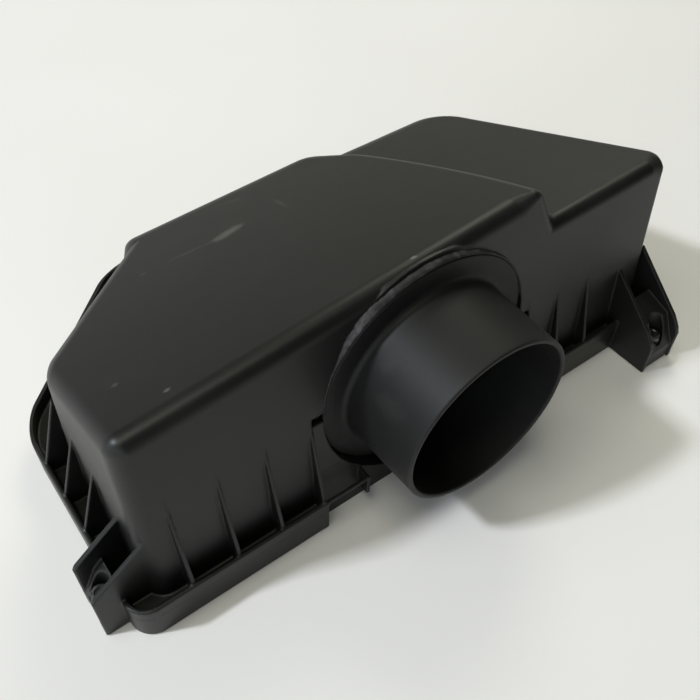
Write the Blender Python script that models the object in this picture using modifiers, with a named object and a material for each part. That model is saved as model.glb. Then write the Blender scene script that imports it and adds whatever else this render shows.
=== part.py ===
"""Air filter housing: moulded cover with outlet spigot, panel filter and captive screws.

Dimensions below are in millimetres, measured from the outside front left corner of the
skirt: x along the long side, y towards the back, z up from the bottom of the skirt.
The finished model is in metres with its origin under the middle of its overall box.
"""
import bpy
import bmesh
import math
import numpy as np
from mathutils import Matrix, Vector

MM = 0.001
ORIGIN_X = 145.5
ORIGIN_Y = 81.55

# rim: flange plate, gutter, lip and skirt
RIM_LENGTH = 291.0
RIM_WIDTH = 183.0
RIM_HEIGHT = 18.8
RIM_WALL = 2.2
CHAMFER_X = 74.0
CHAMFER_Y = 109.5
PLATE_BOTTOM = 9.5
PLATE_TOP = 12.0
RIM_RADIUS = 10.0

# dome walls: position at the lip height and inward lean per millimetre of height
WALL = 2.5
FRONT_FOOT = 7.15
FRONT_LEAN = 0.09
LEFT_FOOT = 11.0
LEFT_LEAN = 0.03
BACK_FOOT = 176.6
BACK_LEAN = 0.54
REAR_BACK_FOOT = 176.0
REAR_BACK_LEAN = 0.565
CHAMFER_SHELF = 23.5
CHAMFER_LEAN = 0.08
STEP_LEAN = 0.45
STEP_SKEWS = ((0.1635, 255.65), (0.3458, 269.33))
FAR_FOOT = 286.0
FAR_SKEW = 0.09
REAR_START = 150.0
EAR_X = 77.5

# dome tops, both falling towards the back
MAIN_TOP = (19.0, 15.0, 100.0, 0.098, -0.368)
REAR_TOP = (207.0, 14.5, 97.5, 0.05, -0.317)
EDGE_RADIUS = 6.0
CORNER_RADIUS = 9.0

# outlet spigot and its seat
SPIGOT_X = 143.9
SPIGOT_Z = 56.6
COLLAR_RADIUS = 51.6
COLLAR_FACE = 12.2
COLLAR_THICK = 2.4
SEAT_RADIUS = 52.0
SEAT_BACK = 17.4
TUBE_RADIUS = 40.0
TUBE_ROOT_RADIUS = 40.9
TUBE_BORE = 37.7
TUBE_MOUTH = -25.9
HUB_RADIUS = 44.5
ROUND_SIDES = 56
PORT_RADIUS = 45.0

# notch in the rim under the spigot
NOTCH_LEFT = 86.5
NOTCH_RIGHT = 200.3
NOTCH_LIP = 22.0

RIB_THICK = 2.0
FRONT_RIBS = ((25.1, 63.0), (45.3, 62.6), (65.35, 62.6), (85.5, 60.5), (201.3, 59.0), (220.3, 58.0), (240.0, 57.2))
END_RIBS = (46.8, 66.2, 85.7)

# screw lugs
LUG_FLOOR = 3.5
LUG_BORE = 3.8
LUG_PLATE = 2.2
CHANNEL_RADIUS = 4.9

# screw set
SLEEVE_OUTER = 3.5
SLEEVE_INNER = 2.65
SCREW_RADIUS = 2.3
SCREW_TIP = 0.5
HEAD_BOTTOM = 12.5
HEAD_TOP = 16.0
HEAD_RADIUS = 4.3
WASHER_RADIUS = 4.4
KEEPER_RADIUS = 4.2

# panel filter
SEAL_BOTTOM = 0.0
SEAL_TOP = 9.2
MEDIA_BOTTOM = 1.5
MEDIA_TOP = 34.0
PLEAT_COUNT = 20


def clear_scene():
    for item in list(bpy.data.objects):
        bpy.data.objects.remove(item, do_unlink=True)
    for block in list(bpy.data.meshes):
        bpy.data.meshes.remove(block)


def point(x, y, z):
    return Vector(((x - ORIGIN_X) * MM, (y - ORIGIN_Y) * MM, z * MM))


def make_collection(name, hidden):
    group = bpy.data.collections.new(name)
    bpy.context.scene.collection.children.link(group)
    group.hide_render = hidden
    return group


def make_material(name, colour, roughness, metallic):
    material = bpy.data.materials.new(name)
    material.use_nodes = True
    shader = material.node_tree.nodes["Principled BSDF"]
    shader.inputs["Base Color"].default_value = (colour[0], colour[1], colour[2], 1.0)
    shader.inputs["Roughness"].default_value = roughness
    shader.inputs["Metallic"].default_value = metallic
    material.diffuse_color = (colour[0], colour[1], colour[2], 1.0)
    return material


def object_from(name, bm, group):
    bmesh.ops.recalc_face_normals(bm, faces=bm.faces)
    mesh = bpy.data.meshes.new(name)
    bm.to_mesh(mesh)
    bm.free()
    item = bpy.data.objects.new(name, mesh)
    group.objects.link(item)
    if group.hide_render:
        item.display_type = "WIRE"
        item.hide_render = True
    return item


def solid_from_loops(bottom, top):
    """Closed solid between two loops of points with the same count."""
    bm = bmesh.new()
    low = [bm.verts.new(p) for p in bottom]
    high = [bm.verts.new(p) for p in top]
    bm.faces.new(list(reversed(low)))
    bm.faces.new(high)
    count = len(low)
    for i in range(count):
        j = (i + 1) % count
        bm.faces.new((low[i], low[j], high[j], high[i]))
    return bm


def solve_corner(first, second, third):
    rows = np.array([first[:3], second[:3], third[:3]])
    values = np.array([first[3], second[3], third[3]])
    return np.linalg.solve(rows, values)


def level(z):
    return (0.0, 0.0, 1.0, z)


def top_plane(top, drop):
    """Plane of a sloping roof, lowered square to itself by drop."""
    x, y, z, rise_x, rise_y = top
    length = math.sqrt(1.0 + rise_x ** 2 + rise_y ** 2)
    return (-rise_x, -rise_y, 1.0, z - rise_x * x - rise_y * y - drop * length)


def step_planes(inset):
    """Two planes of the step wall, which turns inwards towards the back."""
    planes = []
    for skew, at in STEP_SKEWS:
        length = math.sqrt(1.0 + skew ** 2 + STEP_LEAN ** 2)
        planes.append((1.0, skew, STEP_LEAN, at - inset * length))
    return planes


def back_plane(inset):
    return (0.0, 1.0, BACK_LEAN, BACK_FOOT + BACK_LEAN * RIM_HEIGHT - inset * math.hypot(1.0, BACK_LEAN))


def wall_planes(inset):
    """Walls of the main block in order round the plan, moved inwards by inset."""
    scale = math.hypot(CHAMFER_X, RIM_WIDTH - CHAMFER_Y)
    nx = -(RIM_WIDTH - CHAMFER_Y) / scale
    ny = CHAMFER_X / scale
    chamfer_at = ny * CHAMFER_Y - CHAMFER_SHELF
    front = (0.0, -1.0, FRONT_LEAN, -FRONT_FOOT + FRONT_LEAN * RIM_HEIGHT - inset)
    chamfer = (nx, ny, CHAMFER_LEAN, chamfer_at + CHAMFER_LEAN * RIM_HEIGHT - inset)
    left = (-1.0, 0.0, LEFT_LEAN, -LEFT_FOOT + LEFT_LEAN * RIM_HEIGHT - inset)
    return [front] + step_planes(inset) + [back_plane(inset), chamfer, left]


def rear_planes(inset, right_wall):
    """Walls of the lower rear block, which runs into the main block at its left."""
    front = (0.0, -1.0, FRONT_LEAN, -FRONT_FOOT + FRONT_LEAN * RIM_HEIGHT - inset)
    back_inset = inset * math.hypot(1.0, REAR_BACK_LEAN)
    back = (0.0, 1.0, REAR_BACK_LEAN, REAR_BACK_FOOT + REAR_BACK_LEAN * RIM_HEIGHT - back_inset)
    left = (-1.0, 0.0, 0.0, -REAR_START - inset)
    return [front, right_wall, back, left]


def dome_solid(walls, floor_z, roof, corner_radii, edge_radius, segments):
    """Drafted block with rounded upright corners and rounded roof edges."""
    count = len(walls)
    bottom = []
    top = []
    for i in range(count):
        low = solve_corner(walls[i], walls[(i + 1) % count], level(floor_z))
        high = solve_corner(walls[i], walls[(i + 1) % count], roof)
        bottom.append(point(*low))
        top.append(point(*high))
    bm = solid_from_loops(bottom, top)
    for i in range(count):
        if corner_radii[i] <= 0.0:
            continue
        edge = next(e for e in bm.edges if is_edge(e, bottom[i], top[i]))
        bmesh.ops.bevel(bm, geom=[edge], offset=corner_radii[i] * MM, segments=segments,
                        profile=0.5, affect="EDGES", offset_type="OFFSET")
    if edge_radius > 0.0:
        normal = Vector(roof[:3])
        edges = [e for e in bm.edges if all(on_roof(v.co, normal, roof[3]) for v in e.verts)]
        bmesh.ops.bevel(bm, geom=edges, offset=edge_radius * MM, segments=segments,
                        profile=0.5, affect="EDGES", offset_type="OFFSET")
    return bm


def is_edge(edge, a, b):
    p, q = edge.verts[0].co, edge.verts[1].co
    same = (p - a).length < 1e-5 and (q - b).length < 1e-5
    swapped = (p - b).length < 1e-5 and (q - a).length < 1e-5
    return same or swapped


def on_roof(position, normal, value):
    x = position.x / MM + ORIGIN_X
    y = position.y / MM + ORIGIN_Y
    z = position.z / MM
    return abs(normal.x * x + normal.y * y + normal.z * z - value) < 1e-3


def rounded(corners, radius, steps):
    """Plan outline with every corner replaced by an arc of the given radius."""
    outline = []
    count = len(corners)
    for i in range(count):
        corner = Vector(corners[i])
        before = (Vector(corners[i - 1]) - corner).normalized()
        after = (Vector(corners[(i + 1) % count]) - corner).normalized()
        half = before.angle(after) / 2.0
        reach = radius / math.tan(half)
        centre = corner + (before + after).normalized() * radius / math.sin(half)
        start = corner + before * reach - centre
        end = corner + after * reach - centre
        turn = start.angle_signed(end)
        for k in range(steps + 1):
            angle = -turn * k / steps
            spoke = Matrix.Rotation(angle, 2) @ start
            outline.append((centre.x + spoke.x, centre.y + spoke.y))
    return outline


def rim_corners(inset):
    """Five corners of the rim outline, moved inwards by inset, anticlockwise."""
    run_x = CHAMFER_X
    run_y = RIM_WIDTH - CHAMFER_Y
    length = math.hypot(run_x, run_y)
    shift_y = inset * length / run_x
    left_y = CHAMFER_Y - shift_y + inset * run_y / run_x
    back_x = (RIM_WIDTH - inset - CHAMFER_Y + shift_y) * run_x / run_y
    return [(inset, inset), (RIM_LENGTH - inset, inset), (RIM_LENGTH - inset, RIM_WIDTH - inset),
            (back_x, RIM_WIDTH - inset), (inset, left_y)]


def plan_prism(outline, z_low, z_high):
    low = [point(x, y, z_low) for x, y in outline]
    high = [point(x, y, z_high) for x, y in outline]
    return solid_from_loops(low, high)


def box(x0, x1, y0, y1, z0, z1):
    bm = bmesh.new()
    bmesh.ops.create_cube(bm, size=1.0)
    scale = Matrix.Diagonal(((x1 - x0) * MM, (y1 - y0) * MM, (z1 - z0) * MM, 1.0))
    place = Matrix.Translation(point((x0 + x1) / 2.0, (y0 + y1) / 2.0, (z0 + z1) / 2.0))
    bmesh.ops.transform(bm, matrix=place @ scale, verts=bm.verts)
    return bm


def slab_across_x(x0, x1, profile):
    """Plate of the given yz outline between two x positions."""
    return solid_from_loops([point(x0, y, z) for y, z in profile], [point(x1, y, z) for y, z in profile])


def slab_across_y(y0, y1, profile):
    """Plate of the given xz outline between two y positions."""
    return solid_from_loops([point(x, y0, z) for x, z in profile], [point(x, y1, z) for x, z in profile])


def cylinder(radius, length, sides, place):
    bm = bmesh.new()
    bmesh.ops.create_cone(bm, cap_ends=True, segments=sides, radius1=radius * MM, radius2=radius * MM,
                          depth=length * MM, matrix=place)
    return bm


def upright_cylinder(x, y, radius, z0, z1, sides):
    return cylinder(radius, z1 - z0, sides, Matrix.Translation(point(x, y, (z0 + z1) / 2.0)))


def level_cylinder(radius, y0, y1, sides):
    """Cylinder along y on the spigot axis."""
    middle = Matrix.Translation(point(SPIGOT_X, (y0 + y1) / 2.0, SPIGOT_Z))
    return cylinder(radius, y1 - y0, sides, middle @ Matrix.Rotation(math.radians(-90.0), 4, "X"))


def turned(name, profile, sides, place, group):
    """Solid of revolution of a closed (radius, height) outline about its own z axis, moved to place."""
    bm = bmesh.new()
    corners = [bm.verts.new((radius * MM, 0.0, height * MM)) for radius, height in profile]
    for first, second in zip(corners, corners[1:] + corners[:1]):
        bm.edges.new((first, second))
    mesh = bpy.data.meshes.new(name)
    bm.to_mesh(mesh)
    bm.free()
    item = bpy.data.objects.new(name, mesh)
    group.objects.link(item)
    screw = item.modifiers.new("turn", "SCREW")
    screw.axis = "Z"
    screw.angle = 2.0 * math.pi
    screw.steps = sides
    screw.render_steps = sides
    screw.use_merge_vertices = True
    screw.merge_threshold = 0.00001
    apply_modifiers(item)
    item.data.transform(place)
    face_outwards(item)
    return item


def face_outwards(item):
    bm = bmesh.new()
    bm.from_mesh(item.data)
    bmesh.ops.recalc_face_normals(bm, faces=bm.faces)
    bm.to_mesh(item.data)
    bm.free()


def combine(target, tool, operation):
    modifier = target.modifiers.new(tool.name, "BOOLEAN")
    modifier.operation = operation
    modifier.solver = "EXACT"
    modifier.object = tool
    apply_modifiers(target)


def apply_modifiers(item):
    graph = bpy.context.evaluated_depsgraph_get()
    mesh = bpy.data.meshes.new_from_object(item.evaluated_get(graph))
    old = item.data
    item.modifiers.clear()
    item.data = mesh
    bpy.data.meshes.remove(old)


def dress(item, material, angle_degrees):
    item.data.materials.clear()
    item.data.materials.append(material)
    smooth_limit = math.cos(math.radians(angle_degrees))
    bm = bmesh.new()
    bm.from_mesh(item.data)
    bmesh.ops.remove_doubles(bm, verts=bm.verts, dist=1e-7)
    for face in bm.faces:
        face.smooth = True
        face.material_index = 0
    for edge in bm.edges:
        if len(edge.link_faces) == 2:
            a, b = edge.link_faces
            edge.smooth = a.normal.dot(b.normal) > smooth_limit
    bm.to_mesh(item.data)
    bm.free()


def set_origin(item, x, y, z):
    base = point(x, y, z)
    item.data.transform(Matrix.Translation(-base))
    item.location = base


def front_wall_y(z):
    return FRONT_FOOT + FRONT_LEAN * (z - RIM_HEIGHT)


def lug_profiles():
    """Plate outline and infill outline of the shallow lugs, as (outwards, z)."""
    plate = [(-13.0, 11.2), (-1.0, 11.2), (-1.0, 0.03), (9.6, 0.03), (9.6, 26.0), (8.4, 28.0), (-13.0, 44.6)]
    infill = [(-1.1, 0.06), (9.4, 0.06), (9.4, 9.5), (1.5, 23.0), (-1.1, 23.0)]
    return plate, infill


def deep_lug_profiles():
    plate = [(-8.5, 11.2), (-1.0, 11.2), (-1.0, 0.03), (21.3, 0.03), (21.3, 16.0), (20.0, 19.4),
             (16.0, 24.8), (-11.6, 48.3)]
    infill = [(-1.1, 0.06), (20.3, 0.06), (20.3, 10.0), (13.0, 22.0), (-1.1, 22.0)]
    return plate, infill


def build_cover(parts, cutters):
    right_far = (1.0, FAR_SKEW, 0.0, FAR_FOOT + FAR_SKEW * 15.0)

    cover = object_from("cover_shell", plan_prism(rounded(rim_corners(0.0), RIM_RADIUS, 5), 0.0, RIM_HEIGHT), parts)
    gutter = rounded(rim_corners(RIM_WALL), RIM_RADIUS - RIM_WALL, 5)
    combine(cover, object_from("gutter_space", plan_prism(gutter, PLATE_TOP, RIM_HEIGHT + 5.0), cutters), "DIFFERENCE")
    combine(cover, object_from("rim_space", plan_prism(gutter, -5.0, PLATE_BOTTOM), cutters), "DIFFERENCE")
    notch = box(NOTCH_LEFT, NOTCH_RIGHT, -5.0, 12.0, -5.0, RIM_HEIGHT + 5.0)
    combine(cover, object_from("notch_space", notch, cutters), "DIFFERENCE")

    main = dome_solid(wall_planes(0.0), PLATE_BOTTOM + 0.5, top_plane(MAIN_TOP, 0.0),
                      (6.0, 15.0, 13.0, 7.0, 6.5, CORNER_RADIUS), EDGE_RADIUS, 3)
    ear = dome_solid([(0.0, -1.0, 0.0, -125.0), (1.0, 0.0, 0.0, 120.0), back_plane(0.06), (-1.0, 0.0, 0.0, -EAR_X)],
                     PLATE_BOTTOM + 0.6, top_plane(MAIN_TOP, 0.06), (0.0, 0.0, 6.0, 0.0), EDGE_RADIUS - 0.5, 3)
    rear = dome_solid(rear_planes(0.04, right_far), PLATE_BOTTOM + 0.7, top_plane(REAR_TOP, 0.0),
                      (CORNER_RADIUS + 2.0, 16.0, 0.0, 0.0), EDGE_RADIUS, 3)
    combine(cover, object_from("main_block", main, cutters), "UNION")
    combine(cover, object_from("rear_block", rear, cutters), "UNION")
    combine(cover, object_from("corner_block", ear, cutters), "UNION")

    low_y = front_wall_y(0.0) + 0.05
    high_y = front_wall_y(30.0) + 0.05
    panel = slab_across_x(NOTCH_LEFT - 1.7, NOTCH_RIGHT + 1.7,
                          [(low_y, 0.0), (low_y + 3.4, 0.0), (high_y + 3.4, 30.0), (high_y, 30.0)])
    combine(cover, object_from("notch_panel", panel, cutters), "UNION")
    for number, x in enumerate((NOTCH_LEFT - RIB_THICK, NOTCH_RIGHT)):
        closing = box(x - 0.15, x + RIB_THICK + 0.15, 0.08, low_y + 2.0, 0.06, RIM_HEIGHT - 0.06)
        combine(cover, object_from("notch_end_%d" % number, closing, cutters), "UNION")
    for number, start in enumerate((NOTCH_LEFT - 0.5, NOTCH_RIGHT - NOTCH_LIP + 0.5)):
        strip = box(start, start + NOTCH_LIP, 0.14, 1.6, RIM_HEIGHT - 1.6, RIM_HEIGHT - 0.12)
        combine(cover, object_from("notch_strip_%d" % number, strip, cutters), "UNION")
    for number, x in enumerate((NOTCH_LEFT + NOTCH_LIP - 2.1, NOTCH_RIGHT - NOTCH_LIP + 0.5)):
        tab = box(x, x + 1.55, 0.2, low_y + 1.0, 7.0, RIM_HEIGHT - 0.2)
        combine(cover, object_from("notch_tab_%d" % number, tab, cutters), "UNION")

    for number, (x, top) in enumerate(FRONT_RIBS):
        rib = slab_across_x(x - RIB_THICK / 2.0, x + RIB_THICK / 2.0,
                            [(0.7, RIM_HEIGHT - 0.2), (0.7, 11.0), (9.0, 11.0), (front_wall_y(top) + 1.2, top),
                             (front_wall_y(top) - 0.2, top)])
        combine(cover, object_from("front_rib_%d" % number, rib, cutters), "UNION")
    for number, y in enumerate(END_RIBS):
        rib = slab_across_y(y - RIB_THICK / 2.0, y + RIB_THICK / 2.0,
                            [(0.7, RIM_HEIGHT - 0.2), (0.7, 11.0), (12.5, 11.0), (13.0, 50.0), (11.8, 50.0)])
        combine(cover, object_from("left_rib_%d" % number, rib, cutters), "UNION")
    for number, y in enumerate((46.8, 66.2, 85.7, 105.1)):
        wall_x = FAR_FOOT - FAR_SKEW * (y - 15.0)
        rib = slab_across_y(y - RIB_THICK / 2.0, y + RIB_THICK / 2.0,
                            [(RIM_LENGTH - 0.7, RIM_HEIGHT - 0.2), (RIM_LENGTH - 0.7, 11.0), (wall_x - 1.2, 11.0),
                             (wall_x - 1.2, 45.0), (wall_x + 0.2, 45.0)])
        combine(cover, object_from("far_rib_%d" % number, rib, cutters), "UNION")

    build_lugs(cover, cutters)
    for number, x in enumerate((112.0, 206.0)):
        tongue = box(x, x + 20.0, RIM_WIDTH - 1.0, RIM_WIDTH + 6.0, 1.0, 4.0)
        combine(cover, object_from("hook_tongue_%d" % number, tongue, cutters), "UNION")
        lip = box(x + 0.1, x + 19.9, RIM_WIDTH + 3.6, RIM_WIDTH + 5.9, 1.1, 7.0)
        combine(cover, object_from("hook_lip_%d" % number, lip, cutters), "UNION")

    seat = object_from("seat_boss", level_cylinder(SEAT_RADIUS + 2.4, 4.0, SEAT_BACK, 64), cutters)
    trim = [(front_wall_y(-5.0) - 30.0, -5.0), (front_wall_y(130.0) - 30.0, 130.0),
            (front_wall_y(130.0) + 0.5, 130.0), (front_wall_y(-5.0) + 0.5, -5.0)]
    combine(seat, object_from("seat_trim", slab_across_x(80.0, 210.0, trim), cutters), "DIFFERENCE")

    inner_main = dome_solid(wall_planes(WALL), -5.0, top_plane(MAIN_TOP, WALL),
                            (3.5, 15.0, 10.5, 4.5, 4.0, CORNER_RADIUS - WALL), EDGE_RADIUS - WALL, 2)
    inner_rear = dome_solid(rear_planes(WALL + 0.05, shift(right_far, WALL)), -5.2, top_plane(REAR_TOP, WALL),
                            (CORNER_RADIUS + 2.0 - WALL, 13.5, 0.0, 0.0), EDGE_RADIUS - WALL, 2)
    combine(cover, object_from("inner_main", inner_main, cutters), "DIFFERENCE")
    combine(cover, object_from("inner_rear", inner_rear, cutters), "DIFFERENCE")
    combine(cover, seat, "UNION")

    counterbore = level_cylinder(SEAT_RADIUS, -20.0, COLLAR_FACE + COLLAR_THICK + 0.9, 64)
    combine(cover, object_from("seat_counterbore", counterbore, cutters), "DIFFERENCE")
    combine(cover, object_from("port_bore", level_cylinder(PORT_RADIUS, 0.0, 40.0, 64), cutters), "DIFFERENCE")
    for number, side in enumerate((-1.0, 1.0)):
        x = SPIGOT_X + side * 54.0
        z = SPIGOT_Z - side * 3.9
        key = box(x - 3.4, x + 3.4, 0.0, 13.4, z - 2.2, z + 2.2)
        combine(cover, object_from("key_slot_%d" % number, key, cutters), "DIFFERENCE")
    return cover


def shift(plane, inset):
    return (plane[0], plane[1], plane[2], plane[3] - inset)


LUG_PLACES = {
    "left": ((-4.7, 20.4), "left", 18.4),
    "right": ((274.05, -13.6), "front", 21.7),
    "far": ((RIM_LENGTH + 4.7, 130.0), "far", 18.4),
}


def lug_slab(side, along0, along1, profile):
    if side == "left":
        return slab_across_y(along0, along1, [(-d, z) for d, z in profile])
    if side == "far":
        return slab_across_y(along0, along1, [(RIM_LENGTH + d, z) for d, z in profile])
    return slab_across_x(along0, along1, [(-d, z) for d, z in profile])


def build_lugs(cover, cutters):
    for name, ((x, y), side, span) in LUG_PLACES.items():
        plate, infill = deep_lug_profiles() if side == "front" else lug_profiles()
        middle = x if side == "front" else y
        for number, sign in enumerate((-1.0, 1.0)):
            outer = middle + sign * span / 2.0
            inner = outer - sign * LUG_PLATE
            slab = lug_slab(side, min(outer, inner), max(outer, inner), plate)
            combine(cover, object_from("lug_%s_plate_%d" % (name, number), slab, cutters), "UNION")
        filler = object_from("lug_%s_infill" % name,
                             lug_slab(side, middle - span / 2.0 + 1.0, middle + span / 2.0 - 1.0, infill), cutters)
        cavity = upright_cylinder(x, y, CHANNEL_RADIUS, LUG_FLOOR, 60.0, 24)
        combine(filler, object_from("lug_%s_channel" % name, cavity, cutters), "DIFFERENCE")
        combine(cover, filler, "UNION")
        bore = upright_cylinder(x, y, LUG_BORE, -2.0, LUG_FLOOR + 2.0, 24)
        combine(cover, object_from("lug_%s_bore" % name, bore, cutters), "DIFFERENCE")


def spigot_axis():
    """Placing that turns a shape's z axis into the spigot axis, with heights read as y."""
    return Matrix.Translation(point(SPIGOT_X, 0.0, SPIGOT_Z)) @ Matrix.Rotation(math.radians(-90.0), 4, "X")


def build_spigot(parts):
    back = COLLAR_FACE + COLLAR_THICK
    profile = [
        (TUBE_BORE, SEAT_BACK + 3.0),
        (TUBE_BORE, TUBE_MOUTH + 0.8),
        (TUBE_BORE + 0.6, TUBE_MOUTH),
        (TUBE_RADIUS - 0.6, TUBE_MOUTH),
        (TUBE_RADIUS, TUBE_MOUTH + 0.8),
        (TUBE_ROOT_RADIUS, COLLAR_FACE - 2.0),
        (TUBE_ROOT_RADIUS + 2.0, COLLAR_FACE),
        (COLLAR_RADIUS - 0.4, COLLAR_FACE),
        (COLLAR_RADIUS, COLLAR_FACE + 0.4),
        (COLLAR_RADIUS, back),
        (HUB_RADIUS, back),
        (HUB_RADIUS, SEAT_BACK + 3.0),
    ]
    return turned("outlet_spigot", profile, ROUND_SIDES, spigot_axis(), parts)


def build_bond_ring(parts):
    front = COLLAR_FACE + COLLAR_THICK + 0.15
    back = front + 0.6
    outline = [(46.5, back), (46.5, front), (51.0, front), (51.0, back)]
    return turned("spigot_bond_ring", outline, ROUND_SIDES, spigot_axis(), parts)


def build_seal(parts, cutters):
    seal = object_from("filter_seal", plan_prism(rounded(rim_corners(RIM_WALL + 0.6), 7.0, 4), SEAL_BOTTOM, SEAL_TOP),
                       parts)
    relief = box(NOTCH_LEFT - 4.0, NOTCH_RIGHT + 4.0, -5.0, SEAT_BACK + 3.6, -5.0, 20.0)
    combine(seal, object_from("seal_relief", relief, cutters), "DIFFERENCE")
    window = plan_prism(rounded(media_corners(-0.3), 4.0, 3), -5.0, 20.0)
    combine(seal, object_from("seal_window", window, cutters), "DIFFERENCE")
    return seal


def media_corners(inset):
    left, right, front, back = 22.0, 269.0, 28.0, 150.0
    cut = 40.0
    return [(left + inset, front + inset), (right - inset, front + inset), (right - inset, back - inset),
            (left + cut + inset * 0.4 + 24.0, back - inset), (left + inset, back - cut - 24.0 - inset * 0.4)]


def build_media(parts, cutters):
    """Zigzag pleats across the full width, cut to the plan of the filter."""
    pitch = (268.0 - 23.0) / PLEAT_COUNT
    top = []
    bottom = []
    for k in range(PLEAT_COUNT):
        x = 23.0 + k * pitch
        top.append((x, MEDIA_TOP - 5.0))
        top.append((x + pitch / 2.0, MEDIA_TOP))
        bottom.append((x, MEDIA_BOTTOM))
        bottom.append((x + pitch / 2.0, MEDIA_BOTTOM + 5.0))
    top.append((268.0, MEDIA_TOP - 5.0))
    bottom.append((268.0, MEDIA_BOTTOM))
    profile = bottom + list(reversed(top))
    media = object_from("filter_media", slab_across_y(29.0, 149.0, profile), parts)
    corner = plan_prism([(10.0, 73.9), (97.0, 160.0), (10.0, 160.0)], -5.0, 60.0)
    combine(media, object_from("media_corner", corner, cutters), "DIFFERENCE")
    return media


def build_spacers(parts):
    items = []
    for number, y in enumerate((55.0, 90.0, 125.0)):
        start = 24.0 if y < 80.0 else y - 63.0
        bead = box(start + 4.0, 266.0, y - 1.5, y + 1.5, MEDIA_TOP + 0.2, MEDIA_TOP + 2.0)
        item = object_from("filter_spacer_%d" % (number + 1), bead, parts)
        items.append(item)
    return items


def ring(name, x, y, outer, inner, z0, z1, group):
    outline = [(inner, z0), (outer, z0), (outer, z1), (inner, z1)]
    return turned(name, outline, 24, Matrix.Translation(point(x, y, 0.0)), group)


def build_screw(name, x, y, parts, cutters):
    """Hexagon head screw with a collar under the head and a pointed tip."""
    screw = object_from(name, upright_cylinder(x, y, HEAD_RADIUS, HEAD_BOTTOM + 0.8, HEAD_TOP, 6), parts)
    flange = upright_cylinder(x, y, HEAD_RADIUS - 0.1, HEAD_BOTTOM, HEAD_BOTTOM + 1.0, 24)
    combine(screw, object_from(name + "_flange", flange, cutters), "UNION")
    shank = upright_cylinder(x, y, SCREW_RADIUS, SCREW_TIP + 1.2, HEAD_BOTTOM + 0.5, 16)
    combine(screw, object_from(name + "_shank", shank, cutters), "UNION")
    tip = upright_cylinder(x, y, SCREW_RADIUS - 0.7, SCREW_TIP, SCREW_TIP + 1.5, 16)
    combine(screw, object_from(name + "_tip", tip, cutters), "UNION")
    return screw


def main():
    clear_scene()
    parts = make_collection("air_filter_housing", False)
    cutters = make_collection("cutters", True)

    plastic = make_material("black_polypropylene", (0.032, 0.033, 0.032), 0.42, 0.0)
    spigot_plastic = make_material("black_spigot_plastic", (0.035, 0.036, 0.037), 0.40, 0.0)
    bond = make_material("grey_bonding_resin", (0.20, 0.20, 0.19), 0.70, 0.0)
    paper = make_material("filter_paper", (0.62, 0.52, 0.33), 0.90, 0.0)
    urethane = make_material("orange_urethane", (0.55, 0.18, 0.05), 0.65, 0.0)
    glue = make_material("hot_melt", (0.75, 0.72, 0.60), 0.50, 0.0)
    steel = make_material("dark_zinc_steel", (0.10, 0.10, 0.105), 0.38, 1.0)
    sleeve_steel = make_material("passivated_sleeve_steel", (0.16, 0.16, 0.15), 0.42, 1.0)
    nylon = make_material("black_nylon", (0.03, 0.03, 0.03), 0.55, 0.0)

    cover = build_cover(parts, cutters)
    dress(cover, plastic, 34.0)
    spigot = build_spigot(parts)
    dress(spigot, spigot_plastic, 34.0)
    dress(build_bond_ring(parts), bond, 34.0)
    dress(build_seal(parts, cutters), urethane, 34.0)
    dress(build_media(parts, cutters), paper, 20.0)
    for bead in build_spacers(parts):
        dress(bead, glue, 34.0)

    for name, ((x, y), side, span) in LUG_PLACES.items():
        sleeve = ring("screw_sleeve_" + name, x, y, SLEEVE_OUTER, SLEEVE_INNER, 0.0, LUG_FLOOR, parts)
        dress(sleeve, sleeve_steel, 34.0)
        keeper = ring("screw_keeper_" + name, x, y, KEEPER_RADIUS, SCREW_RADIUS + 0.2,
                      LUG_FLOOR + 0.2, LUG_FLOOR + 1.4, parts)
        dress(keeper, nylon, 34.0)
        washer = ring("screw_washer_" + name, x, y, WASHER_RADIUS, SCREW_RADIUS + 0.3,
                      HEAD_BOTTOM - 1.1, HEAD_BOTTOM - 0.3, parts)
        set_origin(washer, x, y, HEAD_BOTTOM - 0.7)
        dress(washer, steel, 34.0)
        screw = build_screw("screw_" + name, x, y, parts, cutters)
        set_origin(screw, x, y, HEAD_BOTTOM)
        dress(screw, steel, 34.0)

    for tool in list(cutters.objects):
        bpy.data.objects.remove(tool, do_unlink=True)


main()
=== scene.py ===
"""Air filter housing cover: visual model, materials, floor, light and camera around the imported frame.

Dimensions are millimetres measured from the outside front left corner of the skirt: x along the
long side, y towards the back, z up. The frame's boxes place that corner in the scene.
"""

import math

import bpy
import bmesh
import numpy as np
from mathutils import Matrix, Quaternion, Vector


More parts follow.
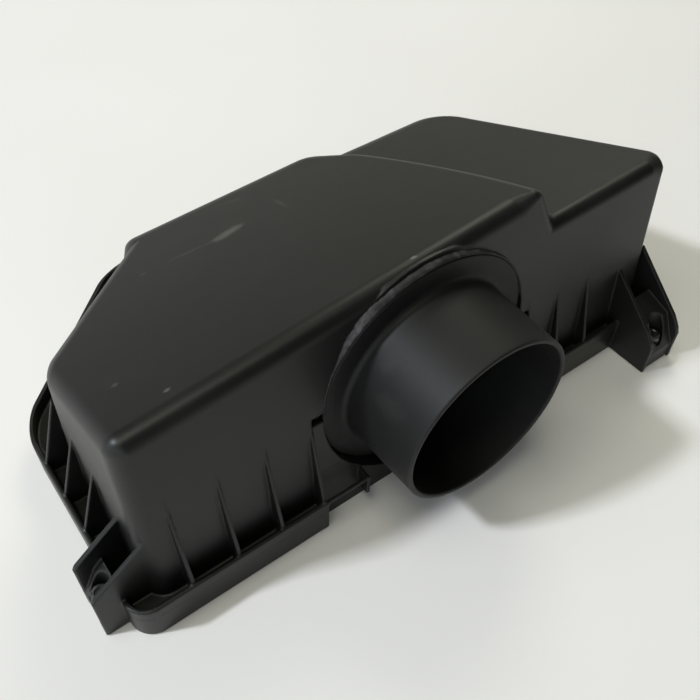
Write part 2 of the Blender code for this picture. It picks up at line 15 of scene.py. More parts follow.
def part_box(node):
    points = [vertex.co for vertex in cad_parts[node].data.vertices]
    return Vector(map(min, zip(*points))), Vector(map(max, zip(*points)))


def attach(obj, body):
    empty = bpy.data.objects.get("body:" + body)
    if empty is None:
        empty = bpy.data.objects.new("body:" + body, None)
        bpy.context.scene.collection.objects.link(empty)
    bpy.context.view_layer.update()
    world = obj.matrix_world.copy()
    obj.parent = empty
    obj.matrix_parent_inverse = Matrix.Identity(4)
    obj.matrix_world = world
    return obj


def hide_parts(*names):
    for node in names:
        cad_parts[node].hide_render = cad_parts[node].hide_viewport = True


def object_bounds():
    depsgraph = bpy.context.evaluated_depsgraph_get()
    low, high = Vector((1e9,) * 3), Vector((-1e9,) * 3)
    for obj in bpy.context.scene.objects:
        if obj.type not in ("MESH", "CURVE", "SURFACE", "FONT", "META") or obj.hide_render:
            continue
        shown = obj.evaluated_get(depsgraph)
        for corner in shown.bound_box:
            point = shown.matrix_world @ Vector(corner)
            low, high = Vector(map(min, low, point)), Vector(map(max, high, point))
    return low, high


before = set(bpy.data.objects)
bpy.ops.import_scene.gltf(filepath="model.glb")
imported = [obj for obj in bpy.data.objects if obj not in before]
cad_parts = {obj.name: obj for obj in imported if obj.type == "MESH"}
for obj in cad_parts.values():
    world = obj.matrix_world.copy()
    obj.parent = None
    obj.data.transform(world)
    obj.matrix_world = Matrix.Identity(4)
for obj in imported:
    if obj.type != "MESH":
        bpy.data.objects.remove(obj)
CAD_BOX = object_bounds()

MM = 0.001
SEED = 11
NEAR = 9.5  # how far round a part its field is worked out

# rim and flange
RIM_LENGTH = 291.0
RIM_WIDTH = 183.0
RIM_HEIGHT = 18.8
RIM_WALL = 2.2
RIM_RADIUS = 10.0
CHAMFER_X = 74.0
CHAMFER_Y = 109.5
PLATE_BOTTOM = 9.5
PLATE_TOP = 12.0

# dome walls: foot at the lip height and inward lean per millimetre of height
WALL = 2.5
FRONT_FOOT, FRONT_LEAN = 7.15, 0.09
LEFT_FOOT, LEFT_LEAN = 11.0, 0.03
BACK_FOOT, BACK_LEAN = 176.6, 0.54
CHAMFER_SHELF, CHAMFER_LEAN = 23.5, 0.08
STEP_TOP, STEP_LEAN = 210.8, 0.45
STEP_SWEEP, STEP_MIDDLE = 439.0, 36.8
EAR_X = 77.5
REAR_START = 150.0
FAR_FOOT, FAR_SKEW, FAR_Y = 286.0, 0.09, 15.0
ROOF_EDGE, LEFT_EDGE, CHAMFER_EDGE, BACK_CORNER = 6.0, 6.5, 7.0, 16.0

# roofs as (x, y, z, rise along x, rise along y)
MAIN_TOP = (19.0, 15.0, 100.0, 0.098, -0.368)
REAR_TOP = (207.0, 14.5, 97.5, 0.05, -0.317)

# spigot seat
SPIGOT_X = 143.9
SPIGOT_Z = 56.6
COLLAR_RADIUS = 51.6
COLLAR_FACE = 12.2
COLLAR_THICK = 2.4
SEAT_RADIUS = 52.0
SEAT_BACK = 17.4
PORT_RADIUS = 45.0
TUBE_RADIUS = 40.0
TUBE_BORE = 37.7
TUBE_MOUTH = -25.9
STUB_RADIUS = 44.5  # the tube behind the collar, and where it ends inside
STUB_END = 20.4

# notch in the rim under the spigot
NOTCH_LEFT = 86.5
NOTCH_RIGHT = 200.3
NOTCH_LIP = 22.0

# gusset ribs as (place, height where they meet the wall)
FRONT_RIBS = ((25.1, 63.0), (45.3, 62.6), (65.35, 62.6), (85.5, 60.5),
              (201.3, 59.0), (220.3, 58.0), (240.0, 57.2))
LEFT_RIBS = ((46.8, 50.0), (66.2, 50.0), (85.7, 50.0))
FAR_RIBS = ((46.8, 45.0), (66.2, 45.0), (85.7, 45.0), (105.1, 45.0))

# lugs: span, outer end, inner end, then (out, z) corners along the top of the plates and of the infill
LUG_FLOOR = 3.5
LUG_BORE = 3.8
LUG_PLATE = 2.2
CHANNEL_RADIUS = 4.9
SHALLOW_LUG = (18.4, 9.6, -15.0, ((9.6, 26.0), (8.4, 28.0), (-13.0, 44.6)),
               ((9.4, 9.5), (2.4, 22.5), (-2.0, 26.5)))
DEEP_LUG = (21.7, 21.3, -13.0, ((21.3, 16.0), (20.0, 19.4), (16.0, 24.8), (-11.6, 48.3)),
            ((20.3, 9.0), (12.2, 24.6), (0.0, 29.0)))

# hook tongues at the back: where each starts
HOOKS = (112.0, 206.0)

# pleated pack of the filter
PLEATS = 44
PACK_LEFT, PACK_RIGHT, PACK_FRONT, PACK_BACK = 23.4, 267.6, 29.2, 149.0
PACK_LOW, PACK_HIGH = 2.4, 33.2
CUT_X, CUT_Y, CUT_SLOPE = 10.0, 74.5, 0.9885  # a point on its cut corner, and the slope there


# rim corner in the scene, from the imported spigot: its axis gives x and z, its mouth gives y
mouth_low, mouth_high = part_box("outlet_spigot")
ORIGIN = Vector((
    (mouth_low.x + mouth_high.x) / 2.0 - SPIGOT_X * MM,
    mouth_low.y - TUBE_MOUTH * MM,
    (mouth_low.z + mouth_high.z) / 2.0 - SPIGOT_Z * MM,
))


def place(x, y, z):
    return Vector((ORIGIN.x + x * MM, ORIGIN.y + y * MM, ORIGIN.z + z * MM))


def node_axis(name):
    """Centre of a small round node in millimetres from the rim corner."""
    low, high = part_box(name)
    middle = (low + high) / 2.0 - ORIGIN
    return middle.x / MM, middle.y / MM


LUGS = {name: node_axis("screw_sleeve_" + name) for name in ("left", "right", "far")}


# ---------------------------------------------------------------- distance fields


def round_and(a, b, r):
    """Where both solids are, with the outer edge rounded to radius r."""
    over = np.hypot(np.maximum(r + a, 0.0), np.maximum(r + b, 0.0))
    return np.minimum(-r, np.maximum(a, b)) + over


def round_or(a, b, r):
    """Either solid, with the inner corner filleted to radius r."""
    under = np.hypot(np.maximum(r - a, 0.0), np.maximum(r - b, 0.0))
    return np.maximum(r, np.minimum(a, b)) - under


def biggest(*values):
    """Where all the solids are, with sharp edges."""
    total = values[0]
    for value in values[1:]:
        total = np.maximum(total, value)
    return total


def slab(value, low, high):
    return np.abs(value - (low + high) / 2.0) - (high - low) / 2.0


def half_plane(u, v, start, end):
    """Negative to the left of the line from start to end in a (u, v) plane, positive to its right."""
    du, dv = end[0] - start[0], end[1] - start[1]
    length = math.hypot(du, dv)
    return ((u - start[0]) * dv - (v - start[1]) * du) / length


def under(u, v, corners):
    """Negative to the left of every leg of the line through the corners."""
    return biggest(*[half_plane(u, v, *leg) for leg in zip(corners, corners[1:])])


def front_wall_y(z):
    return FRONT_FOOT + FRONT_LEAN * (z - RIM_HEIGHT)


def front_wall(y, z):
    return (front_wall_y(z) - y) / math.hypot(1.0, FRONT_LEAN)


def roof(x, y, z, top):
    x0, y0, z0, rise_x, rise_y = top
    return (z - z0 - rise_x * (x - x0) - rise_y * (y - y0)) / math.sqrt(1.0 + rise_x ** 2 + rise_y ** 2)


CHAMFER_RUN = math.hypot(CHAMFER_X, RIM_WIDTH - CHAMFER_Y)
CHAMFER_NX = -(RIM_WIDTH - CHAMFER_Y) / CHAMFER_RUN
CHAMFER_NY = CHAMFER_X / CHAMFER_RUN


def dome(x, y, z, inset):
    """Raised body of the cover, moved inwards by inset."""
    left = LEFT_FOOT + LEFT_LEAN * (z - RIM_HEIGHT) - x + inset
    front = front_wall(y, z) + inset
    far = (x + FAR_SKEW * (y - FAR_Y) - FAR_FOOT) / math.hypot(1.0, FAR_SKEW) + inset
    back = (y - BACK_FOOT + BACK_LEAN * (z - RIM_HEIGHT)) / math.hypot(1.0, BACK_LEAN) + inset
    chamfer = CHAMFER_NX * x + CHAMFER_NY * (y - CHAMFER_Y) + CHAMFER_SHELF
    chamfer += CHAMFER_LEAN * (z - RIM_HEIGHT) + inset
    sweep = x - STEP_TOP + STEP_LEAN * (z - 100.0) + (y + STEP_MIDDLE) ** 2 / (2.0 * STEP_SWEEP)
    step = sweep / np.sqrt(1.0 + STEP_LEAN ** 2 + ((y + STEP_MIDDLE) / STEP_SWEEP) ** 2) + inset
    high = roof(x, y, z, MAIN_TOP) + inset
    low = roof(x, y, z, REAR_TOP) + inset

    main = round_and(chamfer, back, CHAMFER_EDGE - inset)
    if inset == 0.0:
        ear = biggest(round_and(EAR_X - x, back, 6.0), 125.0 - y, x - 120.0)
        main = np.minimum(main, ear)
    main = round_and(round_and(main, left, LEFT_EDGE - inset), high, ROOF_EDGE - inset)
    main = round_and(main, step, 4.0 + 8.0 * np.clip((back + 20.0) / 15.0, 0.0, 1.0) - inset)
    main = round_and(main, front, 8.0 - 4.0 * np.clip((step + 12.0) / 8.0, 0.0, 1.0) - inset)
    rear = round_and(round_and(far, back, BACK_CORNER - inset), low, ROOF_EDGE - inset)
    rear = np.maximum(rear, REAR_START + inset - x)
    rear = round_and(rear, front, 6.3 + 6.0 * np.clip((far + 14.0) / 10.0, 0.0, 1.0) - inset)
    blend = np.clip(-0.8 * np.maximum(back, front), 0.01, 5.0 + inset)
    return round_or(main, rear, blend)


def rim_plan(x, y):
    """Plan distance to the outside of the rim."""
    left = -x
    far = x - RIM_LENGTH
    front = -y
    back = y - RIM_WIDTH
    chamfer = CHAMFER_NX * x + CHAMFER_NY * (y - CHAMFER_Y)
    plan = round_and(round_and(left, front, RIM_RADIUS), far, RIM_RADIUS)
    return round_and(round_and(plan, back, RIM_RADIUS), chamfer, RIM_RADIUS)


def seat_radius(x, z):
    return np.hypot(x - SPIGOT_X, z - SPIGOT_Z)


def rib_blade(across, out, z, wall, top):
    """Gusset plate; out runs from the skirt's face in to the wall, across through its thickness."""
    thick = np.abs(across) - 0.95 + 0.006 * (z - PLATE_TOP)
    slope = -half_plane(out, z, (1.2, RIM_HEIGHT - 0.3), (wall, top))
    edge = round_and(thick, slope, 0.5)
    return biggest(edge, out - wall - 1.2, PLATE_TOP - 1.0 - z, 0.7 - out)


def lug_body(lug, axis, out, along, z):
    """Screw lug: two slanted plates, an infill between them and the open screw channel."""
    span, reach, root, slope, fill = lug
    outline = biggest(out - reach, root - out, under(out, z, slope), 0.03 - z)
    outline = np.maximum(outline, -np.maximum(out + 1.0, z - 11.2))
    plates = np.abs(np.abs(along) - (span - LUG_PLATE) / 2.0) - LUG_PLATE / 2.0
    plates = round_and(plates, outline, 0.55)

    block = biggest(out - fill[0][0], -1.2 - out, under(out, z, fill), 0.06 - z,
                    np.abs(along) - span / 2.0 + 1.0)
    bore = np.hypot(out - axis, along)
    channel = np.maximum(bore - CHANNEL_RADIUS, LUG_FLOOR - z)
    block = round_and(block, -channel, 0.5)
    solid = round_or(plates, block, 0.5)
    return np.maximum(solid, LUG_BORE - bore)


def hook(x, y, z, start):
    """Hook tongue on the back skirt with an upturned lip."""
    width = slab(x, start, start + 20.0)
    tongue = np.maximum(slab(y, RIM_WIDTH - 1.0, RIM_WIDTH + 6.0), slab(z, 1.0, 4.0))
    lip = np.maximum(slab(y, RIM_WIDTH + 3.6, RIM_WIDTH + 5.9), slab(z, 1.1, 7.0))
    return round_and(round_or(tongue, lip, 0.6), width, 0.5)


def near_box(points, box):
    """Which points are near enough to the box for a part inside it to matter."""
    near = np.ones(len(points[0]), bool)
    for value, low, high in zip(points, *box):
        near &= (value > low - NEAR) & (value < high + NEAR)
    return near


def add(total, points, box, part, fillet):
    """Joins part(x, y, z) to total, worked out only near its box."""
    near = near_box(points, box)
    if near.any():
        total[near] = round_or(total[near], part(*[value[near] for value in points]), fillet)


def cut(total, points, box, part, rounding):
    """Takes part(x, y, z) out of total, worked out only near its box."""
    near = near_box(points, box)
    if near.any():
        total[near] = round_and(total[near], -part(*[value[near] for value in points]), rounding)


def notch_space(x, y):
    return biggest(NOTCH_LEFT - x, x - NOTCH_RIGHT, y - 12.0)


def cover(x, y, z):
    """Distance to the whole cover moulding."""
    points = (x, y, z)
    outer = dome(x, y, z, 0.0)
    inner = dome(x, y, z, WALL)
    plan = rim_plan(x, y)

    skirt = round_and(np.abs(plan + RIM_WALL / 2.0) - RIM_WALL / 2.0, slab(z, 0.0, RIM_HEIGHT), 0.7)
    plate = np.maximum(plan + 1.0, slab(z, PLATE_BOTTOM, PLATE_TOP))
    rim = round_or(skirt, plate, 1.2)
    rim = round_and(rim, -notch_space(x, y), 0.5)
    total = round_or(np.maximum(outer, PLATE_BOTTOM - z), rim, 0.9)

    panel_box = ((NOTCH_LEFT - 2.0, 2.0, 0.0), (NOTCH_RIGHT + 2.0, 12.0, 30.0))

    def panel(px, py, pz):
        face = front_wall(py, pz)
        sides = slab(px, NOTCH_LEFT - 1.7, NOTCH_RIGHT + 1.7)
        return biggest(face, -face - 3.4, sides, slab(pz, 0.0, 30.0))

    add(total, points, panel_box, panel, 0.4)

    for start, inward in ((NOTCH_LEFT, 1.0), (NOTCH_RIGHT, -1.0)):
        end_x = start - inward * 1.0

        def closing(px, py, pz):
            plate_x = np.abs(px - end_x) - 1.1
            return round_and(np.maximum(plate_x, slab(py, 0.1, 6.5)), slab(pz, 0.0, RIM_HEIGHT), 0.5)

        def strip(px, py, pz):
            run = slab(px, *sorted((start - inward, start + inward * (NOTCH_LIP - 0.5))))
            section = round_and(slab(py, 0.1, 1.7), slab(pz, RIM_HEIGHT - 1.7, RIM_HEIGHT), 0.5)
            return round_and(section, run, 0.4)

        def tab(px, py, pz):
            middle = start + inward * (NOTCH_LIP - 1.3)
            blade = np.maximum(np.abs(px - middle) - 0.8, slab(py, 0.1, front_wall_y(10.0) + 0.6))
            return round_and(blade, slab(pz, 7.0, RIM_HEIGHT), 0.4)

        span_x = sorted((start - inward * 2.2, start + inward * NOTCH_LIP))
        box = ((span_x[0], 0.0, 0.0), (span_x[1], 7.5, RIM_HEIGHT))
        for part in (closing, strip, tab):
            add(total, points, box, part, 0.5)

    for rib_x, top in FRONT_RIBS:
        add(total, points, ((rib_x - 1.0, 0.0, 11.0), (rib_x + 1.0, 12.0, top)),
            lambda px, py, pz: rib_blade(px - rib_x, py, pz, front_wall_y(top), top), 0.5)
    for rib_y, top in LEFT_RIBS:
        add(total, points, ((0.0, rib_y - 1.0, 11.0), (13.0, rib_y + 1.0, top)),
            lambda px, py, pz: rib_blade(py - rib_y, px, pz, LEFT_FOOT + 0.8, top), 0.5)
    for rib_y, top in FAR_RIBS:
        wall_x = FAR_FOOT - FAR_SKEW * (rib_y - FAR_Y)
        add(total, points, ((wall_x - 2.0, rib_y - 1.0, 11.0), (RIM_LENGTH, rib_y + 1.0, top)),
            lambda px, py, pz: rib_blade(py - rib_y, RIM_LENGTH - px, pz, RIM_LENGTH - wall_x, top), 0.5)

    left_x, left_y = LUGS["left"]
    right_x, right_y = LUGS["right"]
    far_x, far_y = LUGS["far"]
    half = SHALLOW_LUG[0] / 2.0
    end_x = RIM_LENGTH
    add(total, points, ((-9.6, left_y - half, 0.0), (15.0, left_y + half, 44.6)),
        lambda px, py, pz: lug_body(SHALLOW_LUG, -left_x, -px, py - left_y, pz), 0.6)
    add(total, points, ((end_x - 15.0, far_y - half, 0.0), (end_x + 9.6, far_y + half, 44.6)),
        lambda px, py, pz: lug_body(SHALLOW_LUG, far_x - end_x, px - end_x, py - far_y, pz), 0.6)
    add(total, points, ((right_x - 11.0, -21.3, 0.0), (right_x + 11.0, 13.0, 48.3)),
        lambda px, py, pz: lug_body(DEEP_LUG, -right_y, -py, px - right_x, pz), 0.6)
    for start in HOOKS:
        add(total, points, ((start, RIM_WIDTH - 1.0, 1.0), (start + 20.0, RIM_WIDTH + 6.0, 7.0)),
            lambda px, py, pz: hook(px, py, pz, start), 0.6)

    total = np.maximum(total, -inner)

    seat_box = ((SPIGOT_X - 55.0, 0.0, 0.0), (SPIGOT_X + 55.0, 22.0, SPIGOT_Z + 55.0))

    def seat(px, py, pz):
        ring = seat_radius(px, pz) - SEAT_RADIUS - 2.4
        return biggest(ring, py - SEAT_BACK, front_wall(py, pz) + 0.6)

    def counterbore(px, py, pz):
        return np.maximum(seat_radius(px, pz) - SEAT_RADIUS, py - COLLAR_FACE - COLLAR_THICK - 0.9)

    def port(px, py, pz):
        return np.maximum(seat_radius(px, pz) - PORT_RADIUS, py - 40.0)

    add(total, points, seat_box, seat, 0.4)
    cut(total, points, seat_box, counterbore, 0.5)
    cut(total, points, seat_box, port, 0.4)
    for side in (-1.0, 1.0):
        slot_x = SPIGOT_X + side * 54.0
        slot_z = SPIGOT_Z - side * 3.9
        box = ((slot_x - 3.4, 0.0, slot_z - 2.2), (slot_x + 3.4, 13.4, slot_z + 2.2))

        def key(px, py, pz):
            return biggest(np.abs(px - slot_x) - 3.2, np.abs(pz - slot_z) - 2.0, py - 13.4)

        cut(total, points, box, key, 0.4)
    return total


def new_object(name, data):
    item = bpy.data.objects.new(name, data)
    bpy.context.scene.collection.objects.link(item)
    return item


# ---------------------------------------------------------------- surface from a field


def sample(distance, low, counts, cell, block):
    """Field values on a regular grid; only blocks near the surface are worked out point by point."""
    size = cell * block
    centres = [low[i] + size * (np.arange(counts[i]) + 0.5) for i in range(3)]
    mesh = np.meshgrid(*centres, indexing="ij")
    coarse = distance(*[m.ravel().astype(np.float32) for m in mesh]).reshape(counts)
    field = np.sign(coarse).astype(np.float32) * size
    for axis in range(3):
        field = np.repeat(field, block, axis)
    field = np.pad(field, ((0, 1),) * 3, mode="edge")
    near = np.argwhere(np.abs(coarse) < size * 1.35) * block
    step = np.arange(block + 1)
    for start in range(0, len(near), 500):
        corner = near[start:start + 500]
        shape = (len(corner), block + 1, block + 1, block + 1)
        grid = []
        for axis in range(3):
            run = [1, 1, 1]
            run[axis] = block + 1
            spots = corner[:, axis, None, None, None] + step.reshape(run)
            grid.append(np.broadcast_to(spots, shape).ravel())
        spots = [(low[i] + cell * grid[i]).astype(np.float32) for i in range(3)]
        field[tuple(grid)] = distance(*spots)
    return field


def gradient(distance, points, reach):
    """Slope of the field at each point."""
    x, y, z = [c.copy() for c in points.T]
    value = distance(x, y, z)
    slope = np.zeros_like(points)
    for axis in range(3):
        moved = [x.copy(), y.copy(), z.copy()]
        moved[axis] += reach
        slope[:, axis] = (distance(*moved) - value) / reach
    return value, slope


def unit(vectors):
    return vectors / np.maximum(np.linalg.norm(vectors, axis=1), 1e-9)[:, None]


def net(field, distance, low, cell):
    """A point in every cell the surface crosses, set where its tangent planes meet, and the quads."""
    inside = field < 0.0
    mixed = np.zeros(tuple(n - 1 for n in field.shape), bool)
    crossings = []
    for axis in range(3):
        one, two = (axis + 1) % 3, (axis + 2) % 3
        ahead = [slice(None)] * 3
        behind = [slice(None)] * 3
        ahead[axis] = slice(1, None)
        behind[axis] = slice(None, -1)
        edges = np.argwhere(inside[tuple(ahead)] != inside[tuple(behind)])
        ok = (edges[:, one] > 0) & (edges[:, two] > 0)
        ok &= (edges[:, one] < field.shape[one] - 1) & (edges[:, two] < field.shape[two] - 1)
        edges = edges[ok]
        after = edges.copy()
        after[:, axis] += 1
        first, second = field[tuple(edges.T)], field[tuple(after.T)]
        spot = edges.astype(float)
        spot[:, axis] += first / (first - second)
        ring = []
        for shift_one, shift_two in ((1, 1), (0, 1), (0, 0), (1, 0)):
            where = edges.copy()
            where[:, one] -= shift_one
            where[:, two] -= shift_two
            mixed[tuple(where.T)] = True
            ring.append(where)
        crossings.append((spot, first < 0.0, ring))

    cells = np.argwhere(mixed)
    index = np.full(mixed.shape, -1, np.int64)
    index[mixed] = np.arange(len(cells))
    count = len(cells)
    hits = np.zeros(count)
    middle = np.zeros((count, 3))
    square = np.zeros((count, 3, 3))
    pull = np.zeros((count, 3))
    quads = []
    for spot, outward, ring in crossings:
        _, slope = gradient(distance, np.array(low) + cell * spot, 0.02)
        normal = unit(slope)
        corners = []
        for where in ring:
            number = index[tuple(where.T)]
            corners.append(number)
            offset = spot - where - 0.5
            reach = (normal * offset).sum(1)
            hits += np.bincount(number, minlength=count)
            for i in range(3):
                middle[:, i] += np.bincount(number, offset[:, i], count)
                pull[:, i] += np.bincount(number, normal[:, i] * reach, count)
                for j in range(3):
                    square[:, i, j] += np.bincount(number, normal[:, i] * normal[:, j], count)
        quad = np.stack(corners, 1)
        quad[~outward] = quad[~outward][:, ::-1]
        quads.append(quad)
    middle /= hits[:, None]
    steady = 0.04 * hits
    square += steady[:, None, None] * np.eye(3)
    answer = np.linalg.solve(square, (pull + steady[:, None] * middle)[:, :, None])[:, :, 0]
    answer = np.clip(answer, -0.5, 0.5)
    return np.array(low) + cell * (cells + 0.5 + answer), np.concatenate(quads)


def settle(distance, points, limit, rounds):
    """Moves points onto the surface, each by no more than limit."""
    start = points.copy()
    for _ in range(rounds):
        value, slope = gradient(distance, points, 0.03)
        steep = np.maximum((slope ** 2).sum(1), 0.25)
        points = start + np.clip(points - slope * (value / steep)[:, None] - start, -limit, limit)
    return points


def corner_normals(distance, mesh, points):
    """Field normals at the face corners; across a sharp edge each face keeps its own."""
    count = len(mesh.loops)
    vertex = np.empty(count, np.int32)
    mesh.loops.foreach_get("vertex_index", vertex)
    sizes = np.empty(len(mesh.polygons), np.int32)
    mesh.polygons.foreach_get("loop_total", sizes)
    face = np.repeat(np.arange(len(sizes)), sizes)
    flat = np.empty(len(sizes) * 3, np.float32)
    mesh.polygons.foreach_get("normal", flat)
    flat = flat.reshape(-1, 3)[face]
    middle = np.stack([np.bincount(face, points[vertex, i]) for i in range(3)], 1) / sizes[:, None]
    normal = unit(gradient(distance, points, 0.03)[1])[vertex]
    torn = np.nonzero((normal * flat).sum(1) < 0.96)[0]
    inward = middle[face[torn]] - points[vertex[torn]]
    length = np.maximum(np.linalg.norm(inward, axis=1), 1e-6)
    inward *= (np.minimum(0.45 * length, 1.0) / length)[:, None]
    inner = unit(gradient(distance, points[vertex[torn]] + inward, 0.03)[1])
    steady = (inner * flat[torn]).sum(1) > 0.9
    normal[torn] = np.where(steady[:, None], inner, flat[torn])
    return normal


def field_object(name, distance, low, high, cell, triangles):
    """Mesh of a distance field, thinned out on flat ground, with the field's own normals."""
    block = 8
    counts = [int(math.ceil((high[i] - low[i]) / (cell * block))) for i in range(3)]
    points, quads = net(sample(distance, low, counts, cell, block), distance, low, cell)
    points = settle(distance, points, 0.3 * cell, 2)

    raw = bpy.data.meshes.new(name + "_raw")
    raw.vertices.add(len(points))
    raw.vertices.foreach_set("co", points.astype(np.float32).ravel())
    raw.loops.add(quads.size)
    raw.loops.foreach_set("vertex_index", quads.astype(np.int32).ravel())
    raw.polygons.add(len(quads))
    raw.polygons.foreach_set("loop_start", np.arange(0, quads.size, 4, dtype=np.int32))
    raw.update(calc_edges=True)
    raw.validate()
    item = new_object(name, raw)
    thin = item.modifiers.new("thin_out", "DECIMATE")
    thin.ratio = min(1.0, triangles / (2.0 * len(quads)))
    graph = bpy.context.evaluated_depsgraph_get()
    mesh = bpy.data.meshes.new_from_object(item.evaluated_get(graph))
    mesh.name = name
    item.modifiers.clear()
    item.data = mesh
    bpy.data.meshes.remove(raw)

    points = np.empty(len(mesh.vertices) * 3, np.float32)
    mesh.vertices.foreach_get("co", points)
    points = settle(distance, points.reshape(-1, 3).astype(float), 0.2, 1)
    mesh.vertices.foreach_set("co", points.astype(np.float32).ravel())
    mesh.update()
    normals = corner_normals(distance, mesh, points)
    world = points * MM + np.array(ORIGIN)
    mesh.vertices.foreach_set("co", world.astype(np.float32).ravel())
    mesh.polygons.foreach_set("use_smooth", np.ones(len(mesh.polygons), bool))
    mesh.update()
    mesh.normals_split_custom_set(normals.tolist())
    return item


# ---------------------------------------------------------------- mesh helpers


def mesh_object(name, points, faces, smooth=True):
    """Object from points in millimetres and faces of point numbers."""
    mesh = bpy.data.meshes.new(name)
    mesh.from_pydata([place(*p) for p in points], [], faces)
    bm = bmesh.new()
    bm.from_mesh(mesh)
    bmesh.ops.recalc_face_normals(bm, faces=bm.faces)
    bm.to_mesh(mesh)
    bm.free()
    for face in mesh.polygons:
        face.use_smooth = smooth
    return new_object(name, mesh)


def sharpen(item, degrees):
    item.data.set_sharp_from_angle(angle=math.radians(degrees))


def arc(centre, radius, start, end, steps):
    """Points on an arc in a profile plane, angles in degrees."""
    angles = [math.radians(start + (end - start) * k / steps) for k in range(steps + 1)]
    return [(centre[0] + radius * math.cos(a), centre[1] + radius * math.sin(a)) for a in angles]


def skin(rings, count, closed):
    """Faces between rings of count points, either joined end to end or capped at both ends."""
    faces = []
    for k in range(rings if closed else rings - 1):
        after = (k + 1) % rings
        for i in range(count):
            j = (i + 1) % count
            faces.append((k * count + i, k * count + j, after * count + j, after * count + i))
    if not closed:
        faces.append(tuple(reversed(range(count))))
        faces.append(tuple(range((rings - 1) * count, rings * count)))
    return faces


def turned(name, profile, segments, where):
    """Closed profile of (radius, height) points turned once round; where() places each point."""
    points = []
    for k in range(segments):
        angle = 2.0 * math.pi * k / segments
        points += [where(radius, height, angle) for radius, height in profile]
    return mesh_object(name, points, skin(segments, len(profile), True))


def round_spigot(radius, height, angle):
    """Places a turned point on the spigot axis; height is read as y."""
    return (SPIGOT_X + radius * math.cos(angle), height, SPIGOT_Z + radius * math.sin(angle))


def round_upright(x, y):
    """Places turned points on an upright axis."""
    def where(radius, height, angle):
        return (x + radius * math.cos(angle), y + radius * math.sin(angle), height)

    return where


def join(name, items):
    """One object from several, keeping their meshes as they are."""
    bm = bmesh.new()
    for item in items:
        bm.from_mesh(item.data)
        bpy.data.objects.remove(item, do_unlink=True)
    mesh = bpy.data.meshes.new(name)
    bm.to_mesh(mesh)
    bm.free()
    return new_object(name, mesh)


# ---------------------------------------------------------------- pieces


def build_cover():
    cell = 0.85
    low, high = (-10.5, -22.5, -1.0), (301.5, 190.0, 117.0)
    return field_object("cover_moulding", cover, low, high, cell, 180000)


def build_spigot():
    """Straight tube with a rolled mouth, a root fillet and a flat collar."""
    root = 40.9
    back = COLLAR_FACE + COLLAR_THICK
    profile = [(TUBE_BORE, STUB_END), (TUBE_BORE, 5.0), (TUBE_BORE, TUBE_MOUTH + 1.2)]
    profile += arc((TUBE_BORE + 0.9, TUBE_MOUTH + 0.9), 0.9, 180.0, 270.0, 5)
    profile += arc((TUBE_RADIUS - 0.9, TUBE_MOUTH + 0.9), 0.9, 270.0, 360.0, 5)
    profile += [(TUBE_RADIUS + 0.05, TUBE_MOUTH + 3.0), (root - 0.1, COLLAR_FACE - 6.0)]
    profile += list(reversed(arc((root + 2.2, COLLAR_FACE - 2.2), 2.2, 90.0, 180.0, 6)))
    profile += [(46.0, COLLAR_FACE)]
    profile += arc((COLLAR_RADIUS - 0.6, COLLAR_FACE + 0.6), 0.6, 270.0, 360.0, 4)
    profile += [(COLLAR_RADIUS, back), (STUB_RADIUS, back), (STUB_RADIUS, STUB_END)]
    tube = turned("spigot_tube", profile, 192, round_spigot)
    sharpen(tube, 50.0)
    return tube


def wobble(angle, waves):
    """Repeatable irregular value round a circle from a few sine waves (rate, size, phase)."""
    return sum(size * math.sin(rate * angle + phase) for rate, size, phase in waves)


def build_bead():
    """Bonding resin squeezed out round the upper part of the collar, thick on one side and ragged."""
    steps = 300
    start, end = math.radians(12.0), math.radians(178.0)
    waves = ((9.0, 0.16, 0.4), (23.0, 0.22, 1.9), (41.0, 0.18, 4.0), (77.0, 0.14, 2.2),
             (131.0, 0.10, 5.1))
    points = []
    for k in range(steps + 1):
        angle = start + (end - start) * k / steps
        patch = math.exp(-((math.degrees(angle) - 131.0) / 13.0) ** 2)
        fade = min(1.0, (angle - start) / 0.25, (end - angle) / 0.25)
        ragged = wobble(angle, waves)
        width = (0.75 + 0.35 * ragged + 2.6 * patch * (1.0 + 0.25 * ragged)) * max(fade, 0.0)
        top = COLLAR_RADIUS + 0.45
        z_edge = SPIGOT_Z + (top + width) * math.sin(angle)
        wall_y = front_wall_y(z_edge)
        rise = (0.30 + 0.25 * ragged + 0.5 * patch) * fade
        crest = min(COLLAR_FACE + 0.2, wall_y) - rise * 0.35 + 0.25 * (wall_y - COLLAR_FACE) * patch
        section = (
            (top - 0.9, COLLAR_FACE + 1.6),
            (top - 0.35, min(COLLAR_FACE + 0.5, wall_y - rise * 0.4)),
            (top + 0.25 * width, crest),
            (top + 0.65 * width, wall_y - 0.2 - rise * 0.75),
            (top + width, wall_y + 0.15),
            (top + 0.5 * width, wall_y + 0.9),
        )
        points += [round_spigot(radius, y, angle) for radius, y in section]
    squeezed = mesh_object("squeezed_bead", points, skin(steps + 1, len(section), False))
    front = COLLAR_FACE + COLLAR_THICK + 0.15
    flat = [(46.5, front + 0.6), (46.5, front), (51.0, front), (51.0, front + 0.6)]
    hidden = turned("hidden_ring", flat, 96, round_spigot)
    return join("spigot_bonding", [squeezed, hidden])


def pleat_limit(x):
    """Furthest back that the paper reaches at x, following the cut corner."""
    return min(PACK_BACK, CUT_Y + (x - CUT_X) * CUT_SLOPE)


